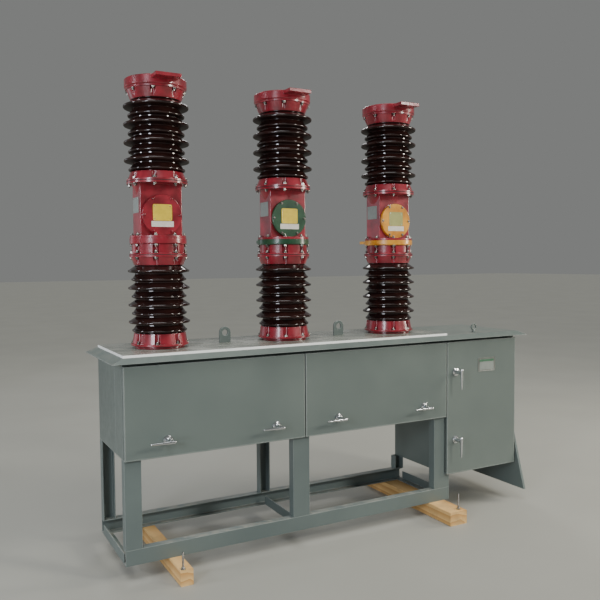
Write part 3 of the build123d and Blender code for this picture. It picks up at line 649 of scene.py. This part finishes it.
def points_object(name, points):
    # Points with the way that each bolt looks
    mesh = bpy.data.meshes.new(name)
    mesh.from_pydata([place for place, way in points], [], [])
    attribute = mesh.attributes.new("axis", "FLOAT_VECTOR", "POINT")
    for item, (place, way) in zip(attribute.data, points):
        item.vector = way
    return link(bpy.data.objects.new(name, mesh))


def circle_points(x, z, radius, count, way):
    # Bolt places round a pole's axis, the first half a pitch from +X
    found = []
    for i in range(count):
        turn = 2 * pi / count * (i + 0.5)
        found.append(((x + radius * cos(turn), radius * sin(turn), z), way))
    return found


UP = (0, 0, 1)
DOWN = (0, 0, -1)
OUT = (0, -1, 0)
LEFT = (-1, 0, 0)
BACK = (0, 1, 0)

# Bolt rows of a pole, from its foot up: height, radius and the way that the heads look
FLANGE_ROWS = (
    (Z_PLATE + FOOT_HEIGHT + FLANGE_RIM, BASE_CIRCLE, UP),
    (Z_NECK - FLANGE_RIM, BASE_CIRCLE, DOWN),
    (Z_NECK + FLANGE_RIM, NECK_CIRCLE, UP),
    (Z_RING, NECK_CIRCLE, DOWN),
    (Z_HOUSING + HOUSING_FOOT, FOOT_CIRCLE, UP),
    (Z_BUSHING - HOUSING_FLANGE, HOUSING_TOP_CIRCLE, DOWN),
    (Z_BUSHING + FLANGE_RIM, UPPER_CIRCLE, UP),
    (Z_CAP - FLANGE_RIM, TOP_CIRCLE, DOWN),
)
large_bolts = []
for x in POLE_X:
    for z, radius, way in FLANGE_ROWS:
        large_bolts += circle_points(x, z, radius, FLANGE_BOLTS, way)
bolt_sizes = {
    "Head Radius": 8.2 * MM, "Head Height": 7.0 * MM, "Washer Radius": 9.6 * MM,
    "Thread Radius": 4.5 * MM, "Material": ZINC,
}
flange_bolts = run_tree(points_object("flange_bolts", large_bolts), HEX_BOLTS, bolt_sizes)
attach(flange_bolts, "breaker")

# Cover screws, painted over with the cover on the first pole and bare on the others
for number, x in enumerate(POLE_X, 1):
    small = []
    for i in range(COVER_BOLTS):
        turn = 2 * pi / COVER_BOLTS * i
        place = (x + COVER_CIRCLE * cos(turn), COVER_FACE, COVER_Z + COVER_CIRCLE * sin(turn))
        small.append((place, OUT))
    metal = FINISHES["casting_red"] if number == 1 else ZINC
    sizes = {
        "Head Radius": 5.4 * MM, "Head Height": 4.5 * MM,
        "Washer Radius": 7.0 * MM, "Washer Height": 1.6 * MM,
        "Thread Radius": 3.0 * MM, "Thread Length": 0.8 * MM,
        "Seed": number, "Material": metal,
    }
    screws = run_tree(points_object(f"pole_{number}_cover_screws", small), HEX_BOLTS, sizes)
    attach(screws, "breaker")


# Rubber gaskets between the castings, a little proud of the rims
GASKET_HEIGHT = 3.6 * MM
GASKET_PROUD = 0.6 * MM
GASKET_DEPTH = 6 * MM
HOUSING_RIM = 149 * MM
NECK_RIM = 142 * MM
GASKET_SIDES = 64


def gaskets(name, z, rim):
    # One flat ring with a rounded lip on each pole
    shape = bmesh.new()
    half = GASKET_HEIGHT / 2
    inner = rim - GASKET_DEPTH
    lip = rim + GASKET_PROUD
    profile = (
        (inner, -half), (rim, -half), (lip, -half / 2),
        (lip, half / 2), (rim, half), (inner, half),
    )
    for x in POLE_X:
        rows = []
        for k in range(GASKET_SIDES):
            turn = 2 * pi * k / GASKET_SIDES
            ring = [(x + radius * cos(turn), radius * sin(turn), z + rise) for radius, rise in profile]
            rows.append([shape.verts.new(place) for place in ring])
        skin(shape, rows + rows[:1])
    return piece(from_bmesh(name, shape, RUBBER), "breaker")


gaskets("housing_gaskets", Z_BUSHING, HOUSING_RIM)
gaskets("neck_gaskets", Z_NECK, NECK_RIM)


CORNER_STEPS = 4


def rounded_corners(corners, radius):
    # Each corner becomes a short curve
    outline = []
    count = len(corners)
    for i in range(count):
        corner = Vector(corners[i])
        before = (Vector(corners[i - 1]) - corner).normalized() * radius
        after = (Vector(corners[(i + 1) % count]) - corner).normalized() * radius
        for j in range(CORNER_STEPS + 1):
            t = j / CORNER_STEPS
            outline.append(tuple(corner + before * (1 - t) ** 2 + after * t ** 2))
    return outline


# A plate's sheet, how far in the bead's slope ends in widths of the bead, and the sizes that
# each plate has of its own
PLATE_SHEET = 0.8 * MM
BEAD_FOOT = 1.5
Plate = namedtuple("Plate", "width height corner bead bead_height")


def plate_across(way):
    # A plate's width direction, seen from in front of it
    return Vector((1, 0, 0)) if way == OUT else Vector((0, -1, 0))


def bead_plate(name, middle, plate, way, sheet, body):
    # Thin blank plate on a wall with a raised bead along its rim; middle is on the wall and way
    # is the wall's outward direction, -Y or -X
    half = plate.width / 2
    rise = plate.height / 2
    corners = [(-half, -rise), (half, -rise), (half, rise), (-half, rise)]
    outline = rounded_corners(corners, plate.corner)
    top = PLATE_SHEET + plate.bead_height
    shape = bmesh.new()
    rows = []
    for inset, lift in ((0, 0), (0, top), (plate.bead, top), (BEAD_FOOT * plate.bead, PLATE_SHEET)):
        row = []
        for a, b in outline:
            along = plate_across(way) * a * (1 - inset / half)
            upward = Vector((0, 0, b * (1 - inset / rise)))
            row.append(shape.verts.new(Vector(middle) + along + upward + Vector(way) * lift))
        rows.append(row)
    skin(shape, rows)
    shape.faces.new(rows[-1])
    shape.faces.new(rows[0])
    return piece(from_bmesh(name, shape, sheet), body)


def corner_points(middle, plate, way, inset):
    # Rivet places near a plate's four corners
    found = []
    for side in (-1, 1):
        for level in (-1, 1):
            along = plate_across(way) * side * (plate.width / 2 - inset)
            upward = Vector((0, 0, level * (plate.height / 2 - inset)))
            found.append((tuple(Vector(middle) + along + upward + Vector(way) * PLATE_SHEET), way))
    return found


def rivets(name, points, body):
    heads = {"Radius": 2.6 * MM, "Height": 1.4 * MM, "Material": BARE_PLATE}
    return piece(run_tree(points_object(name, points), DOMED_HEADS, heads), body)


# Blank plates: a lacquered one over a pale strip on each cover, a plain grey one on each
# housing's left side
COVER_PLATE = Plate(96 * MM, 80 * MM, 9 * MM, 3 * MM, 0.6 * MM)
COVER_STRIP = Plate(112 * MM, 28 * MM, 3 * MM, 2 * MM, 0.3 * MM)
SIDE_PLATE = Plate(98 * MM, 76 * MM, 4 * MM, 3 * MM, 0.5 * MM)
PLATE_GAP = 2 * MM
PLATES_FOOT = -58 * MM
SIDE_PLATE_Y = 12 * MM
SIDE_PLATE_DROP = 102 * MM
COVER_RIVET_INSET = 9 * MM
RIVET_INSET = 7 * MM
plate_rivets = []
for number, x in enumerate(POLE_X, 1):
    strip_z = COVER_Z + PLATES_FOOT + COVER_STRIP.height / 2
    plate_z = strip_z + COVER_STRIP.height / 2 + PLATE_GAP + COVER_PLATE.height / 2
    sheet = OLIVE_SHEET if number == 3 else YELLOW_SHEET
    place = (x, COVER_FACE, plate_z)
    bead_plate(f"pole_{number}_cover_plate", place, COVER_PLATE, OUT, sheet, "breaker")
    plate_rivets += corner_points(place, COVER_PLATE, OUT, COVER_RIVET_INSET)
    place = (x, COVER_FACE, strip_z)
    bead_plate(f"pole_{number}_strip_plate", place, COVER_STRIP, OUT, PALE_SHEET, "breaker")
    place = (x - HOUSING_SIDE, SIDE_PLATE_Y, Z_BUSHING - HOUSING_FLANGE - SIDE_PLATE_DROP)
    bead_plate(f"pole_{number}_side_plate", place, SIDE_PLATE, LEFT, GREY_SHEET, "breaker")
    plate_rivets += corner_points(place, SIDE_PLATE, LEFT, RIVET_INSET)
rivets("plate_rivets", plate_rivets, "breaker")

# Blank nameplate on the mechanism door: bare sheet with a grey field and a plain green band
NAMEPLATE = Plate(137 * MM, 84 * MM, 5 * MM, 3 * MM, 0.5 * MM)
NAMEPLATE_FIELD = Plate(112 * MM, 46 * MM, 2 * MM, 1 * MM, 0.1 * MM)
NAMEPLATE_BAND = Plate(112 * MM, 12 * MM, 2 * MM, 1 * MM, 0.1 * MM)
NAMEPLATE_FROM_LEFT = 302 * MM
NAMEPLATE_FROM_TOP = 150 * MM
FIELD_RISE = -8 * MM
BAND_RISE = 24 * MM
nameplate_x = MECHANISM_DOOR[0].x + NAMEPLATE_FROM_LEFT
place = Vector((nameplate_x, DOOR_FACE, MECHANISM_DOOR[1].z - NAMEPLATE_FROM_TOP))
bead_plate("nameplate", place, NAMEPLATE, OUT, BARE_PLATE, "mechanism_door")
rivets("nameplate_rivets", corner_points(place, NAMEPLATE, OUT, RIVET_INSET), "mechanism_door")
field = place + Vector((0, -PLATE_SHEET, FIELD_RISE))
bead_plate("nameplate_field", field, NAMEPLATE_FIELD, OUT, GREY_SHEET, "mechanism_door")
band = place + Vector((0, -PLATE_SHEET, BAND_RISE))
bead_plate("nameplate_band", band, NAMEPLATE_BAND, OUT, GREEN_SHEET, "mechanism_door")


# Rubber strips on the frame, behind the doors' rims; the profile is in millimetres, each point
# its distance in from the loop's outer edge and its height over the frame
SEAL_FROM_EDGE = 5 * MM
SEAL_FROM_BOTTOM = 7 * MM
SEAL_FROM_TOP = 18 * MM
SEAL_FROM_PIN = 17.5 * MM
SEAL_PROFILE = ((0, 0), (0, 7.5), (0.8, 10.2), (3.0, 11.6), (5.2, 10.2), (6.0, 7.5), (6.0, 0))


def seal(name, x0, x1, z0, z1):
    # One mitred loop with a rounded nose, standing on the frame's face
    shape = bmesh.new()
    rings = []
    for inset, lift in SEAL_PROFILE:
        d = inset * MM
        y = FRAME_FACE - lift * MM
        corners = [(x0 + d, z0 + d), (x1 - d, z0 + d), (x1 - d, z1 - d), (x0 + d, z1 - d)]
        rings.append([shape.verts.new((x, y, z)) for x, z in corners])
    rings.append(rings[0])
    skin(shape, rings)
    return piece(from_bmesh(name, shape, RUBBER), "breaker")


# The mechanism door's right strip clears its hinge pin
for door, (low, high), from_right in (
    ("left_door", LEFT_DOOR, SEAL_FROM_EDGE),
    ("right_door", RIGHT_DOOR, SEAL_FROM_EDGE),
    ("mechanism_door", MECHANISM_DOOR, SEAL_FROM_PIN),
):
    x0 = low.x + SEAL_FROM_EDGE
    x1 = high.x - from_right
    seal(f"{door}_seal", x0, x1, low.z + SEAL_FROM_BOTTOM, high.z - SEAL_FROM_TOP)


# Two screws in each lever rosette; a door's two rosettes stand side by side or one above the
# other, so their middles are found from the box round them both
ROSETTE_RADIUS = 23 * MM
ROSETTE_SCREWS = 16.5 * MM
ROSETTE_PLATE = 7.4 * MM
for door in ("left_door", "right_door", "mechanism_door"):
    low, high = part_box(f"{door}_rosettes")
    heads = []
    for x in sorted({round(low.x + ROSETTE_RADIUS, 5), round(high.x - ROSETTE_RADIUS, 5)}):
        for z in sorted({round(low.z + ROSETTE_RADIUS, 5), round(high.z - ROSETTE_RADIUS, 5)}):
            for side in (-1, 1):
                heads.append(((x + side * ROSETTE_SCREWS, DOOR_FACE - ROSETTE_PLATE, z), OUT))
    sizes = {"Radius": 3.2 * MM, "Height": 1.8 * MM, "Material": FINISHES["handle_chrome"]}
    screws = run_tree(points_object(f"{door}_rosette_screws", heads), DOMED_HEADS, sizes)
    piece(screws, door)

# Screws round the back panels
SCREW_PITCH = 230 * MM
SCREW_FROM_EDGE = 14 * MM


def edge_screws(x0, x1, z0, z1, y):
    # Screws round a panel's edge at about one pitch
    found = []
    across = max(1, round((x1 - x0) / SCREW_PITCH))
    along = max(1, round((z1 - z0) / SCREW_PITCH))
    for i in range(across + 1):
        x = x0 + (x1 - x0) * i / across
        found += [((x, y, z0), BACK), ((x, y, z1), BACK)]
    for i in range(1, along):
        z = z0 + (z1 - z0) * i / along
        found += [((x0, y, z), BACK), ((x1, y, z), BACK)]
    return found


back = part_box("back_panels")[1].y
sheet_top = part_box("roof")[0].z - SCREW_FROM_EDGE
heads = []
for left, right, foot in (
    (LEFT_DOOR[0].x, RIGHT_DOOR[1].x, LEFT_DOOR[0].z),
    (MECHANISM_DOOR[0].x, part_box("right_end_wall")[1].x, MECHANISM_DOOR[0].z),
):
    x0 = left + SCREW_FROM_EDGE
    x1 = right - SCREW_FROM_EDGE
    heads += edge_screws(x0, x1, foot + SCREW_FROM_EDGE, sheet_top, back)
sizes = {"Radius": 5.5 * MM, "Height": 3.0 * MM, "Material": ZINC}
back_screws = run_tree(points_object("back_panel_screws", heads), DOMED_HEADS, sizes)
piece(back_screws, "breaker")


# Threaded studs left standing in the packing timbers, each with its nut: places from a timber's
# left side and front end, height and turns of thread
STUDS = {
    "left_skid": (16.5 * MM, 12 * MM, 80 * MM, 26),
    "right_skid": (83.5 * MM, 31 * MM, 88 * MM, 29),
}
STUD_RADIUS = 5 * MM
STUD_ROOT = 4.3 * MM
STUD_SIDES = 14


def stud(name, x, y, base, height, turns):
    # Rod with a coarse thread, drawn at 3 mm because the real 1.5 mm is too fine to show
    shape = bmesh.new()
    rows = []
    for i in range(2 * turns + 1):
        size = STUD_RADIUS if i % 2 else STUD_ROOT
        z = base + height * i / (2 * turns)
        angles = [2 * pi * k / STUD_SIDES for k in range(STUD_SIDES)]
        rows.append([shape.verts.new((x + size * cos(a), y + size * sin(a), z)) for a in angles])
    skin(shape, rows)
    shape.faces.new(rows[0])
    shape.faces.new(rows[-1])
    return piece(from_bmesh(name, shape, ZINC), "breaker")


nuts = []
for timber, (from_side, from_end, height, turns) in STUDS.items():
    low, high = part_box(timber)
    x = low.x + from_side
    y = low.y + from_end
    stud(f"{timber}_stud", x, y, high.z, height, turns)
    nuts.append(((x, y, high.z), UP))
sizes = {
    "Head Radius": 9.5 * MM, "Head Height": 8.5 * MM, "Washer Radius": 12.0 * MM,
    "Thread Radius": 5.2 * MM, "Thread Length": 1.0 * MM, "Material": ZINC,
}
stud_nuts = run_tree(points_object("skid_stud_nuts", nuts), HEX_BOLTS, sizes)
piece(stud_nuts, "breaker")


# Camera at the photograph's place
CAMERA_PLACE = Vector((-2.0128, -3.4324, 1.4856))
CAMERA_YAW = 0.4941
CAMERA_PITCH = -0.0535
CAMERA_ROLL = -0.0074
CAMERA_LENS = 42.11
CAMERA_SENSOR = 36
CAMERA_REACH = 100
level = cos(CAMERA_PITCH)
forward = Vector((sin(CAMERA_YAW) * level, cos(CAMERA_YAW) * level, sin(CAMERA_PITCH)))
right = Vector((cos(CAMERA_YAW), -sin(CAMERA_YAW), 0))
above = right.cross(forward)
turned_right = right * cos(CAMERA_ROLL) + above * sin(CAMERA_ROLL)
turned_up = above * cos(CAMERA_ROLL) - right * sin(CAMERA_ROLL)
camera_data = bpy.data.cameras.new("photograph camera")
camera_data.sensor_width = CAMERA_SENSOR
camera_data.lens = CAMERA_LENS
camera_data.clip_end = CAMERA_REACH
camera = link(bpy.data.objects.new("photograph camera", camera_data))
axes = Matrix((turned_right, turned_up, -forward)).transposed().to_4x4()
camera.matrix_world = Matrix.Translation(CAMERA_PLACE) @ axes
bpy.context.scene.camera = camera


# Floor and soft studio light
FLOOR_REACH = 60
floor_shape = bmesh.new()
bmesh.ops.create_grid(floor_shape, x_segments=1, y_segments=1, size=FLOOR_REACH)
floor = from_bmesh("floor", floor_shape, FLOOR)


def softbox(name, place, target, width, height, power, colour="#FFFFFF"):
    # Rectangular lamp aimed at a target; metres and watts
    lamp = bpy.data.lights.new(name, "AREA")
    lamp.shape = "RECTANGLE"
    lamp.size = width
    lamp.size_y = height
    lamp.energy = power
    lamp.color = linear(colour)[:3]
    holder = link(bpy.data.objects.new(name, lamp))
    holder.visible_camera = False
    holder.location = place
    holder.rotation_euler = (Vector(target) - Vector(place)).to_track_quat("-Z", "Y").to_euler()


softbox("window left front", (-5.0, -3.6, 2.6), (-0.2, 0, 1.3), 1.0, 1.4, 134, "#EEF2FF")
softbox("window right front", (3.4, -5.0, 4.1), (0.3, 0, 1.3), 0.9, 1.2, 214, "#FFFBF2")
softbox("window right", (5.3, -2.1, 2.5), (0.3, 0, 1.2), 1.1, 1.5, 190, "#FFF6E8")
softbox("window left back", (-4.2, 5.2, 2.2), (-0.4, 0, 1.4), 2.0, 2.2, 14, "#EEF2FF")
softbox("window far left", (-5.3, 0.6, 2.7), (-0.6, 0, 1.3), 0.6, 1.0, 52, "#F2F5FF")
softbox("low fill", (-5.4, -3.0, 0.8), (0.4, 0, 0.3), 1.8, 0.8, 60, "#F2F5FF")
softbox("rear fill", (2.2, 5.6, 5.4), (0.1, 0, 1.2), 2.4, 1.6, 90)

# Wide soft light from above, and an even pale surround
SKY_POWER = 2.0
SKY_SPREAD = radians(38)
SKY_TILT = (radians(16), radians(-8), 0)
SURROUND = "#D6D8D6"
SURROUND_POWER = 0.3
skylight = bpy.data.lights.new("skylight", "SUN")
skylight.energy = SKY_POWER
skylight.angle = SKY_SPREAD
skylight_holder = link(bpy.data.objects.new("skylight", skylight))
skylight_holder.rotation_euler = SKY_TILT
world = bpy.data.worlds.new("studio")
bpy.context.scene.world = world
world.use_nodes = True
surround = world.node_tree.nodes["Background"]
surround.inputs["Color"].default_value = linear(SURROUND)
surround.inputs["Strength"].default_value = SURROUND_POWER

low, high = CAD_BOX
